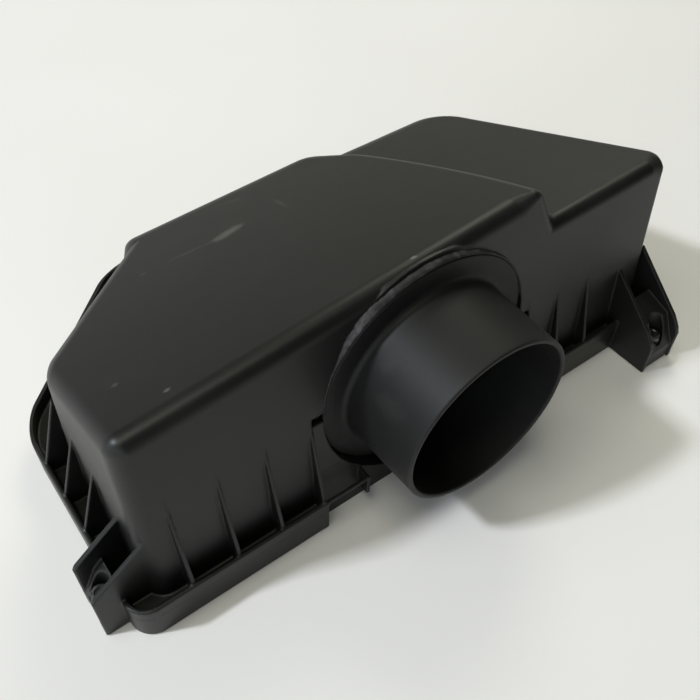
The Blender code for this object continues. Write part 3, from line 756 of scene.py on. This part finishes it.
def build_pleats():
    """Folded filter paper with a slightly uneven fold pitch and wavy fold lines."""
    rng = np.random.default_rng(SEED)
    rows = 36
    folds = 2 * PLEATS + 1
    points, faces = [], []
    for k in range(folds):
        share = k / (folds - 1)
        x = PACK_LEFT + (PACK_RIGHT - PACK_LEFT) * share
        jitter = 0.0 if k in (0, folds - 1) else rng.normal(0.0, 0.22)
        high = k % 2 == 1
        phase = rng.uniform(0.0, 6.28)
        for row in range(rows):
            y = PACK_FRONT + (pleat_limit(x) - PACK_FRONT) * row / (rows - 1)
            sway = 0.18 * math.sin(y / 14.0 + phase)
            z = (PACK_HIGH if high else PACK_LOW) + 0.12 * math.sin(y / 9.0 + phase)
            points.append((x + jitter + (0.0 if k in (0, folds - 1) else sway), y, z))
    for k in range(folds - 1):
        for row in range(rows - 1):
            a = k * rows + row
            faces.append((a, a + 1, a + rows + 1, a + rows))
    paper = mesh_object("pleated_paper", points, faces)
    for face in paper.data.polygons:
        face.use_smooth = False
    sheet = paper.modifiers.new("thickness", "SOLIDIFY")
    sheet.thickness = 0.55 * MM
    sheet.offset = 0.0
    bevel = paper.modifiers.new("fold_edges", "BEVEL")
    bevel.width = 0.2 * MM
    bevel.segments = 2
    bevel.limit_method = "ANGLE"
    bevel.angle_limit = math.radians(40.0)
    return paper


def seal_field(x, y, z):
    """Moulded urethane frame with a soft bulb round its top edge."""
    plan = rim_plan(x, y) + RIM_WALL + 0.6
    body = round_and(plan, slab(z, 0.0, 7.6), 1.2)
    bulb = np.hypot(plan + 4.2, z - 7.2) - 2.0
    body = round_or(body, bulb, 0.8)
    groove = np.hypot(plan + 8.6, z - 8.2) - 1.3
    body = round_and(body, -groove, 0.4)
    relief = np.maximum(slab(x, NOTCH_LEFT - 4.0, NOTCH_RIGHT + 4.0), y - (SEAT_BACK + 3.6))
    body = round_and(body, -relief, 0.8)
    cut_line = CHAMFER_NX * x + CHAMFER_NY * (y - CUT_Y) + CHAMFER_NX * -CUT_X + 0.3
    window = round_and(round_and(slab(x, 22.0, 269.0), slab(y, 27.9, 150.1), 4.0), cut_line, 4.0)
    return np.maximum(round_and(body, -window, 0.8), slab(z, 0.0, 9.2))


def build_seal():
    cell = 0.8
    return field_object("seal_frame", seal_field, (1.0, 1.0, -1.0), (290.0, 182.0, 11.0), cell, 60000)


def build_spacer(number, y, start):
    """Bead of hot melt laid across the pleat tips, dipping a little between them."""
    rng = np.random.default_rng(SEED + number)
    end = 265.8
    steps = 420
    sides = 10
    pitch = (PACK_RIGHT - PACK_LEFT) / PLEATS
    points = []
    drift = rng.uniform(0.0, 6.28, 3)
    for k in range(steps + 1):
        x = start + (end - start) * k / steps
        tip = 0.5 - 0.5 * math.cos(2.0 * math.pi * (x - PACK_LEFT) / pitch)
        taper = min(1.0, k / 4.0 + 0.25, (steps - k) / 4.0 + 0.25)
        wide = (1.15 + 0.12 * math.sin(x / 5.0 + drift[0])) * taper
        tall = (0.72 + 0.10 * math.sin(x / 7.0 + drift[1])) * taper
        middle_z = 34.75 + 0.22 * tip
        middle_y = y + 0.18 * math.sin(x / 17.0 + drift[2])
        for i in range(sides):
            angle = 2.0 * math.pi * i / sides
            points.append((x, middle_y + wide * math.cos(angle), middle_z + tall * math.sin(angle)))
    return mesh_object("glue_bead_%d" % number, points, skin(steps + 1, sides, False))


def build_sleeve(name, x, y):
    """Rolled steel compression sleeve with a narrow seam."""
    inner, outer, top = 2.65, 3.5, LUG_FLOOR
    seam = 0.07
    segments = 48
    section = ((inner + 0.15, 0.0), (outer - 0.2, 0.0), (outer, 0.2), (outer, top - 0.2),
               (outer - 0.2, top), (inner + 0.15, top), (inner, top - 0.15), (inner, 0.15))
    points = []
    where = round_upright(x, y)
    for k in range(segments + 1):
        angle = seam + (2.0 * math.pi - 2.0 * seam) * k / segments
        points += [where(radius, height, angle) for radius, height in section]
    sleeve = mesh_object("sleeve_" + name, points, skin(segments + 1, len(section), False))
    sharpen(sleeve, 35.0)
    return sleeve


def build_keeper(name, x, y):
    """Nylon ring that keeps the screw captive, with six small grip teeth."""
    base, top = LUG_FLOOR + 0.2, LUG_FLOOR + 1.4
    segments = 72
    points = []
    where = round_upright(x, y)
    for k in range(segments):
        angle = 2.0 * math.pi * k / segments
        tooth = 0.12 * max(0.0, math.cos(6.0 * angle)) ** 2
        section = ((2.62 - tooth, base + 0.2), (2.75, base), (4.0, base), (4.2, base + 0.2),
                   (4.2, top - 0.3), (3.9, top), (2.9, top), (2.62 - tooth, top - 0.25))
        points += [where(radius, height, angle) for radius, height in section]
    keeper = mesh_object("keeper_" + name, points, skin(segments, len(section), True))
    sharpen(keeper, 35.0)
    return keeper


def build_washer(name, x, y):
    low, high = 11.4, 12.2
    profile = [(2.7, low), (4.25, low), (4.4, low + 0.15), (4.4, high - 0.25),
               (4.2, high), (2.75, high), (2.6, high - 0.15), (2.6, low + 0.1)]
    washer = turned("washer_" + name, profile, 48, round_upright(x, y))
    sharpen(washer, 35.0)
    return washer


def build_screw(name, x, y):
    """Hexagon flange screw: chamfered head with a dished top, and a threaded shank."""
    shank = [(0.02, 0.5), (1.5, 0.5)]
    z = 1.1
    while z < 9.6:
        shank += [(2.28, z), (1.98, z + 0.4)]
        z += 0.8
    shank += [(2.25, 10.2), (2.25, 12.5), (3.9, 12.5)]
    shank += [(4.18, 12.7), (4.18, 12.95), (3.8, 13.35), (0.02, 13.5)]
    body = turned("shank", shank, 32, round_upright(x, y))
    corner_radius = 4.3
    flat = corner_radius * math.cos(math.pi / 6.0)
    where = round_upright(x, y)
    levels = ((13.2, corner_radius), (15.1, corner_radius), (15.6, 4.02), (16.0, 3.4), (15.98, 2.5),
              (15.55, 1.9))
    around = 36
    points = []
    for level, widest in levels:
        for k in range(around):
            angle = 2.0 * math.pi * k / around
            local = (angle + math.pi / 6.0) % (math.pi / 3.0) - math.pi / 6.0
            radius = min(flat / math.cos(local), widest)
            points.append(where(radius, level, angle))
    head = mesh_object("head", points, skin(len(levels), around, False))
    screw = join("hex_screw_" + name, [body, head])
    for face in screw.data.polygons:
        face.use_smooth = True
    sharpen(screw, 32.0)
    return screw


# ---------------------------------------------------------------- materials


class Nodes:
    """Small helper for building the nodes of a material or a world."""

    def __init__(self, owner, coords="Object"):
        owner.use_nodes = True
        self.owner = owner
        self.tree = owner.node_tree
        self.coords = self.node("TexCoord").outputs[coords]

    @staticmethod
    def material(name):
        return Nodes(bpy.data.materials.new(name))

    def node(self, kind):
        return self.tree.nodes.new("ShaderNode" + kind)

    def put(self, socket, value):
        if isinstance(value, bpy.types.NodeSocket):
            self.tree.links.new(value, socket)
        elif isinstance(value, (tuple, list)) and len(value) == 3 and socket.type == "RGBA":
            socket.default_value = (value[0], value[1], value[2], 1.0)
        else:
            socket.default_value = value

    def noise(self, scale, detail=3.0, roughness=0.55, stretch=None, where=None):
        node = self.node("TexNoise")
        node.inputs["Scale"].default_value = scale
        node.inputs["Detail"].default_value = detail
        node.inputs["Roughness"].default_value = roughness
        coords = where or self.coords
        if stretch:
            mapping = self.node("Mapping")
            mapping.inputs["Rotation"].default_value = stretch[1]
            mapping.inputs["Scale"].default_value = stretch[0]
            self.tree.links.new(coords, mapping.inputs["Vector"])
            coords = mapping.outputs["Vector"]
        self.tree.links.new(coords, node.inputs["Vector"])
        return node.outputs["Fac"]

    def span(self, value, from_low, from_high, to_low=0.0, to_high=1.0):
        node = self.node("MapRange")
        node.interpolation_type = "SMOOTHSTEP"
        self.put(node.inputs["Value"], value)
        ends = {"From Min": from_low, "From Max": from_high, "To Min": to_low, "To Max": to_high}
        for socket, number in ends.items():
            node.inputs[socket].default_value = number
        return node.outputs["Result"]

    def calculate(self, operation, a, b):
        node = self.node("Math")
        node.operation = operation
        self.put(node.inputs[0], a)
        self.put(node.inputs[1], b)
        return node.outputs["Value"]

    def times(self, a, b):
        return self.calculate("MULTIPLY", a, b)

    def plus(self, a, b):
        return self.calculate("ADD", a, b)

    def mix(self, share, a, b):
        node = self.node("Mix")
        node.data_type = "RGBA"
        self.put(node.inputs[0], share)
        self.put(node.inputs[6], a)
        self.put(node.inputs[7], b)
        return node.outputs[2]

    def edges(self, radius):
        """Normal rounded off at sharp edges, and a value that is 1 along them."""
        rounded = self.node("Bevel")
        rounded.samples = 4
        rounded.inputs["Radius"].default_value = radius
        plain = self.node("NewGeometry").outputs["Normal"]
        dot = self.node("VectorMath")
        dot.operation = "DOT_PRODUCT"
        self.tree.links.new(rounded.outputs["Normal"], dot.inputs[0])
        self.tree.links.new(plain, dot.inputs[1])
        return rounded.outputs["Normal"], self.span(dot.outputs["Value"], 0.98, 0.8)

    def patch(self, centre, size, turn, ragged):
        """1 inside a soft ragged spot at centre (mm), size (mm) along its turned axes."""
        mapping = self.node("Mapping")
        mapping.vector_type = "TEXTURE"
        mapping.inputs["Location"].default_value = place(*centre)
        mapping.inputs["Rotation"].default_value = turn
        mapping.inputs["Scale"].default_value = [s * MM for s in size]
        self.tree.links.new(self.coords, mapping.inputs["Vector"])
        length = self.node("VectorMath")
        length.operation = "LENGTH"
        self.tree.links.new(mapping.outputs["Vector"], length.inputs[0])
        reach = self.plus(length.outputs["Value"], self.times(ragged, 1.6))
        return self.span(reach, 1.5, 0.6)

    def bump(self, height, strength, distance, normal=None):
        node = self.node("Bump")
        node.inputs["Strength"].default_value = strength
        node.inputs["Distance"].default_value = distance
        self.put(node.inputs["Height"], height)
        if normal is not None:
            self.tree.links.new(normal, node.inputs["Normal"])
        return node.outputs["Normal"]

    def finish(self, colour, roughness, normal, metallic=0.0, specular=0.5):
        sockets = self.tree.nodes["Principled BSDF"].inputs
        self.put(sockets["Base Color"], colour)
        self.put(sockets["Roughness"], roughness)
        self.put(sockets["Normal"], normal)
        sockets["Metallic"].default_value = metallic
        sockets["Specular IOR Level"].default_value = specular
        return self.owner


# scuffs on the cover, and a painted glint on a small chip at the roof's front edge: centre, size along
# its turned axes, turn, strength
COVER_SCUFFS_AND_GLINT = (
    ((111.0, 110.5, 74.0), (8.5, 3.4, 5.0), (0.0, 0.0, 0.16), 0.20),
    ((91.0, 111.5, 71.5), (14.0, 1.3, 5.0), (0.0, 0.0, -0.12), 0.05),
    ((69.6, 113.2, 68.8), (1.6, 1.4, 3.0), (0.0, 0.0, 0.0), 0.08),
    ((139.5, 113.0, 76.0), (1.2, 8.0, 6.0), (0.0, 0.0, -0.07), 0.06),
    ((129.0, 139.0, 65.0), (7.0, 1.8, 5.0), (0.0, 0.0, -0.42), 0.05),
    ((40.6, 27.1, 97.7), (1.3, 0.9, 3.0), (0.0, 0.0, 0.3), 0.2),
    ((29.3, 45.8, 89.7), (1.5, 1.1, 3.0), (0.0, 0.0, 0.1), 0.10),
    # painted glint: a chip at the roof's front edge, painted light where it catches the overhead lamp
    ((139.1, 21.3, 109.5), (1.8, 0.8, 1.5), (0.0, 0.0, -0.1), 0.4),
)


def moulded_plastic(name, colour, roughness, specular, scuffs_and_highlights):
    """Satin black polypropylene: faint mottling, fine grain, rubbed edges, dust, scuff marks and painted
    highlights (a glint on a chip, sheen on the spigot).
    """
    n = Nodes.material(name)
    broad = n.noise(9.0, 4.0)
    medium = n.noise(70.0, 3.0)
    grain = n.noise(1400.0, 2.0, 0.6)
    fine = n.noise(420.0, 3.0, 0.6)
    brushed = n.noise(55.0, 5.0, 0.65, stretch=((1.0, 26.0, 26.0), (0.0, 0.0, 0.5)))
    hair = n.span(n.noise(38.0, 6.0, 0.7, stretch=((1.0, 60.0, 60.0), (0.2, 0.1, -0.6))), 0.66, 0.74)
    hair_two = n.noise(30.0, 6.0, 0.7, stretch=((70.0, 1.0, 70.0), (0.1, 0.3, 0.35)))
    hair_two = n.span(hair_two, 0.67, 0.75)
    lighter = tuple(c * 1.4 + 0.0008 for c in colour)
    tone = n.mix(n.span(broad, 0.35, 0.68), colour, lighter)
    tone = n.mix(n.times(n.span(fine, 0.5, 0.75), 0.25), tone, tuple(c * 1.9 for c in colour))
    haze = n.times(n.span(medium, 0.42, 0.78), n.span(broad, 0.38, 0.62))
    tone = n.mix(n.times(haze, 0.03), tone, (0.12, 0.12, 0.11))
    scratches = n.calculate("MAXIMUM", hair, hair_two)
    scratches = n.times(scratches, n.span(medium, 0.45, 0.65))
    tone = n.mix(n.times(scratches, 0.07), tone, (0.20, 0.20, 0.19))
    rough = n.span(broad, 0.3, 0.7, roughness - 0.03, roughness + 0.05)
    rough = n.plus(rough, n.times(brushed, 0.08))
    rough = n.plus(rough, n.times(scratches, 0.1))
    ragged = n.calculate("SUBTRACT", n.noise(160.0, 5.0, 0.7), 0.35)
    # light patches: scuff marks, plus painted highlights where listed (a chip's glint on the cover,
    # sheen on the spigot)
    for centre, size, turn, strength in scuffs_and_highlights:
        spot = n.patch(centre, size, turn, ragged)
        tone = n.mix(n.times(spot, strength), tone, (0.30, 0.30, 0.28))
        rough = n.plus(rough, n.times(spot, 0.18 * min(1.0, strength * 3.0)))
    soft_edge, edge = n.edges(0.0006)
    worn = n.times(edge, n.span(fine, 0.25, 0.6, 0.45, 1.0))
    tone = n.mix(n.times(worn, 0.17), tone, (0.20, 0.20, 0.19))
    normal = n.bump(grain, 0.12, 0.00006, soft_edge)
    normal = n.bump(n.noise(190.0, 2.0), 0.06, 0.0004, normal)
    normal = n.bump(scratches, 0.08, 0.00005, normal)
    return n.finish(tone, rough, normal, specular=specular)


def bond_material():
    """Pale rough resin at the thick patch, darker elsewhere."""
    n = Nodes.material("bonding_resin")
    coarse = n.noise(260.0, 5.0, 0.7)
    fine = n.noise(1200.0, 3.0, 0.6)
    ragged = n.calculate("SUBTRACT", coarse, 0.3)
    pale = n.patch((109.0, 10.5, 94.0), (13.0, 6.0, 13.0), (0.0, 0.0, 0.0), ragged)
    tone = n.mix(n.span(coarse, 0.48, 0.68), (0.012, 0.012, 0.012), (0.05, 0.049, 0.048))
    light = n.mix(n.span(coarse, 0.40, 0.62), (0.03, 0.03, 0.033), (0.19, 0.185, 0.205))
    tone = n.mix(pale, tone, light)
    normal = n.bump(coarse, 0.55, 0.0006)
    normal = n.bump(fine, 0.4, 0.0001, normal)
    return n.finish(tone, n.span(coarse, 0.3, 0.7, 0.5, 0.85), normal)


def paper_material():
    n = Nodes.material("filter_paper")
    fibre = n.noise(900.0, 6.0, 0.75)
    blotch = n.noise(30.0, 4.0)
    tone = n.mix(n.span(blotch, 0.35, 0.7), (0.66, 0.55, 0.34), (0.52, 0.42, 0.25))
    tone = n.mix(n.times(n.span(fibre, 0.5, 0.7), 0.35), tone, (0.80, 0.72, 0.52))
    normal = n.bump(fibre, 0.35, 0.0002)
    return n.finish(tone, n.span(fibre, 0.3, 0.7, 0.82, 0.95), normal, specular=0.25)


def urethane_material():
    n = Nodes.material("urethane_foam")
    cells = n.node("TexVoronoi")
    cells.inputs["Scale"].default_value = 700.0
    n.tree.links.new(n.coords, cells.inputs["Vector"])
    blotch = n.noise(40.0, 4.0)
    tone = n.mix(n.span(blotch, 0.35, 0.7), (0.58, 0.17, 0.035), (0.44, 0.12, 0.03))
    pores = n.times(n.span(n.noise(300.0, 4.0), 0.55, 0.75), 0.3)
    tone = n.mix(pores, tone, (0.30, 0.10, 0.05))
    normal = n.bump(cells.outputs["Distance"], 0.25, 0.0002)
    normal = n.bump(blotch, 0.3, 0.001, normal)
    return n.finish(tone, n.span(blotch, 0.3, 0.7, 0.55, 0.72), normal, specular=0.4)


def glue_material():
    n = Nodes.material("hot_melt_glue")
    cloud = n.noise(120.0, 3.0)
    tone = n.mix(n.span(cloud, 0.35, 0.7), (0.80, 0.76, 0.60), (0.68, 0.61, 0.42))
    sockets = n.tree.nodes["Principled BSDF"].inputs
    sockets["Subsurface Weight"].default_value = 0.25
    sockets["Subsurface Radius"].default_value = (0.002, 0.0015, 0.001)
    normal = n.bump(cloud, 0.3, 0.0006)
    return n.finish(tone, n.span(cloud, 0.3, 0.7, 0.32, 0.5), normal)


def steel_material(name, dark, light, roughness):
    """Plated steel with fine turning marks and worn patches."""
    n = Nodes.material(name)
    wear = n.noise(240.0, 5.0, 0.7)
    turned_marks = n.noise(900.0, 2.0, 0.5, stretch=((1.0, 1.0, 9.0), (0.0, 0.0, 0.0)))
    tone = n.mix(n.span(wear, 0.42, 0.66), dark, light)
    normal = n.bump(turned_marks, 0.15, 0.00008)
    normal = n.bump(wear, 0.1, 0.0002, normal)
    return n.finish(tone, n.span(wear, 0.3, 0.7, roughness, roughness + 0.2), normal, metallic=1.0)


def nylon_material():
    n = Nodes.material("black_nylon")
    fine = n.noise(800.0, 3.0)
    broad = n.noise(120.0, 3.0)
    tone = n.mix(n.span(broad, 0.35, 0.7), (0.022, 0.022, 0.023), (0.045, 0.045, 0.044))
    return n.finish(tone, n.span(fine, 0.3, 0.7, 0.45, 0.62), n.bump(fine, 0.2, 0.0001))


def dress(item, material):
    item.data.materials.clear()
    item.data.materials.append(material)


def mount(item, body, slot, *nodes):
    """Hands a finished piece to its body and hides the frame nodes it stands for; the slot argument is
    not used.
    """
    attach(item, body)
    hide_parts(*nodes)


# ---------------------------------------------------------------- assembly

plastic = moulded_plastic("moulded_polypropylene", (0.0042, 0.0045, 0.0041), 0.39, 0.37, COVER_SCUFFS_AND_GLINT)
# the spigot's two light patches on the upper left of the tube are painted sheen
tube_plastic = moulded_plastic("spigot_polypropylene", (0.0050, 0.0052, 0.0050), 0.52, 0.3,
                               (((112.0, 2.0, 86.0), (5.0, 4.0, 5.0), (0.0, 0.3, 0.2), 0.03),
                                ((108.0, -8.0, 74.0), (4.0, 8.0, 5.0), (0.0, 0.0, 0.1), 0.02)))

shell = build_cover()
dress(shell, plastic)
mount(shell, "cover", "black_polypropylene", "cover_shell")

tube = build_spigot()
dress(tube, tube_plastic)
mount(tube, "cover", "black_spigot_plastic", "outlet_spigot")

bead = build_bead()
dress(bead, bond_material())
mount(bead, "cover", "grey_bonding_resin", "spigot_bond_ring")

paper = build_pleats()
dress(paper, paper_material())
mount(paper, "filter", "filter_paper", "filter_media")

seal = build_seal()
dress(seal, urethane_material())
mount(seal, "filter", "orange_urethane", "filter_seal")

glue = glue_material()
for number, (glue_y, glue_start) in enumerate(((55.0, 28.5), (90.0, 31.5), (125.0, 66.5)), 1):
    strand = build_spacer(number, glue_y, glue_start)
    dress(strand, glue)
    mount(strand, "filter", "hot_melt", "filter_spacer_%d" % number)

zinc = steel_material("dark_zinc", (0.055, 0.055, 0.06), (0.15, 0.15, 0.155), 0.34)
sleeve_steel = steel_material("sleeve_steel", (0.16, 0.155, 0.14), (0.30, 0.29, 0.26), 0.32)
nylon = nylon_material()
for lug, (axis_x, axis_y) in LUGS.items():
    for build, material, body, slot, node in (
        (build_sleeve, sleeve_steel, "cover", "passivated_sleeve_steel", "screw_sleeve_"),
        (build_keeper, nylon, "cover", "black_nylon", "screw_keeper_"),
        (build_washer, zinc, "washer_" + lug, "dark_zinc_steel", "screw_washer_"),
        (build_screw, zinc, "screw_" + lug, "dark_zinc_steel", "screw_"),
    ):
        piece = build(lug, axis_x, axis_y)
        dress(piece, material)
        mount(piece, body, slot, node + lug)


# ---------------------------------------------------------------- floor, light, camera


# brightness of the surround at the left, at the back and everywhere
WORLD_LEFT, WORLD_BACK, WORLD_BASE = 1.5, 0.34, 0.05
# lamps as (place in metres, size, watts, colour)
COOL, WARM = (0.90, 0.93, 1.0), (1.0, 0.985, 0.83)
LAMPS = {
    "key": ((-1.95, 0.735, 2.16), (0.26, 0.26), 58.0, COOL),
    "overhead": ((-0.45, -0.10, 1.95), (1.0, 1.0), 11.0, WARM),
    "fill": ((0.8, 0.72, 1.18), (0.6, 0.6), 5.6, WARM),
}
LENS = 40.956
CAMERA_PLACE = (-11.902, -138.545, 302.025)
CAMERA_AIM = (0.40773, 0.52834, -0.74472)
CAMERA_ROLL = 0.02883


def build_floor():
    n = Nodes.material("pale_floor")
    soft = n.noise(3.0, 2.0)
    tone = n.mix(n.span(soft, 0.3, 0.7), (0.80, 0.795, 0.775), (0.83, 0.825, 0.81))
    material = n.finish(tone, 0.55, n.bump(n.noise(300.0, 2.0), 0.05, 0.0002), specular=0.3)
    bm = bmesh.new()
    bmesh.ops.create_grid(bm, x_segments=8, y_segments=8, size=3.0)
    mesh = bpy.data.meshes.new("studio_floor")
    bm.to_mesh(mesh)
    bm.free()
    floor = new_object("studio_floor", mesh)
    floor.location.z = CAD_BOX[0].z - 0.0002
    dress(floor, material)


def softbox(name, location, size, power, colour):
    data = bpy.data.lights.new(name, "AREA")
    data.shape = "RECTANGLE"
    data.size, data.size_y = size
    data.energy = power
    data.color = colour
    lamp = new_object(name, data)
    lamp.location = location
    lamp.rotation_mode = "QUATERNION"
    lamp.rotation_quaternion = (-Vector(location)).to_track_quat("-Z", "Y")


def build_world():
    """Studio surround: bright to the left, softer behind, dark in front and to the right."""
    world = bpy.data.worlds.new("studio")
    bpy.context.scene.world = world
    n = Nodes(world, "Generated")
    way = n.node("SeparateXYZ")
    n.tree.links.new(n.coords, way.inputs[0])
    x, y, z = way.outputs
    left = n.span(n.plus(x, n.times(y, 0.4)), -0.3, -1.0, 0.0, WORLD_LEFT)
    behind = n.span(y, -0.15, 0.6, 0.0, WORLD_BACK)
    low = n.span(z, 0.75, 0.15, 0.25, 1.0)
    glow = n.times(n.plus(left, behind), low)
    total = n.plus(glow, WORLD_BASE)
    tint = n.mix(n.span(x, 0.2, -0.8), (1.0, 0.985, 0.88), (0.91, 0.95, 1.0))
    background = n.tree.nodes["Background"]
    n.put(background.inputs["Color"], tint)
    n.put(background.inputs["Strength"], total)


def build_light():
    build_world()
    for name, setting in LAMPS.items():
        softbox(name, *setting)
    scene = bpy.context.scene
    scene.view_settings.view_transform = "Standard"
    scene.view_settings.look = "None"
    scene.view_settings.exposure = 0.0


def build_camera():
    """Looks down at the front left corner with a slight roll."""
    data = bpy.data.cameras.new("camera")
    data.lens = LENS
    data.sensor_width = 36.0
    data.clip_start = 0.01
    camera = new_object("camera", data)
    camera.location = place(*CAMERA_PLACE)
    aim = Vector(CAMERA_AIM)
    roll = Quaternion((0.0, 0.0, 1.0), CAMERA_ROLL)
    camera.rotation_mode = "QUATERNION"
    camera.rotation_quaternion = aim.to_track_quat("-Z", "Y") @ roll
    bpy.context.scene.camera = camera


build_floor()
build_light()
build_camera()
